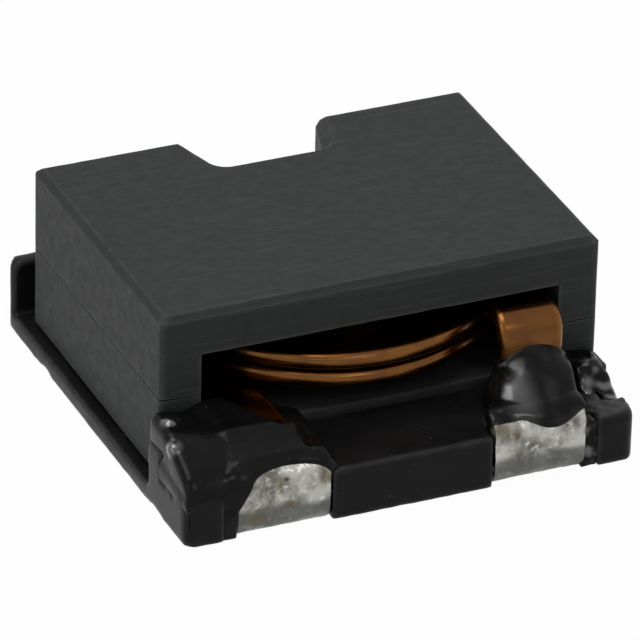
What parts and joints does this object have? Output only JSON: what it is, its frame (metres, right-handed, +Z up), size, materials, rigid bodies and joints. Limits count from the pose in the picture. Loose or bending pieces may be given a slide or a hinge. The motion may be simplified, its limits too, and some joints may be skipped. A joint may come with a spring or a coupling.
{
  "type": "shielded power inductor",
  "caption": "Surface-mount shielded power inductor: flat copper wire wound on edge between two ferrite halves, its flattened tinned ends folded under a black moulded base.",
  "frame": {"origin": "centre of the base's footprint on the seating plane, where the solder pads rest", "axes": "+Z up, away from the board; -Y towards the side where the two ends of the winding come out; +X to the right seen from that side"},
  "size_m": [0.0131, 0.013, 0.0054],
  "materials": {
    "base_plastic": "moulded black plastic with a slight sheen",
    "ferrite": "pressed and ground grey ferrite, dull",
    "core_adhesive": "cured black adhesive film",
    "enamelled_wire": null,
    "solder": "solder-dipped, dull with bright edges",
    "epoxy": "glossy black epoxy"
  },
  "bodies": {
    "root": {"base": "base_plastic", "lower_core": "ferrite", "upper_core": "ferrite", "left_bond": "core_adhesive", "right_bond": "core_adhesive", "winding": "enamelled_wire", "left_tinned_end": "solder", "right_tinned_end": "solder", "left_epoxy": "epoxy", "right_epoxy": "epoxy", "right_run": "epoxy", "post_epoxy": "epoxy"}
  },
  "joints": []
}
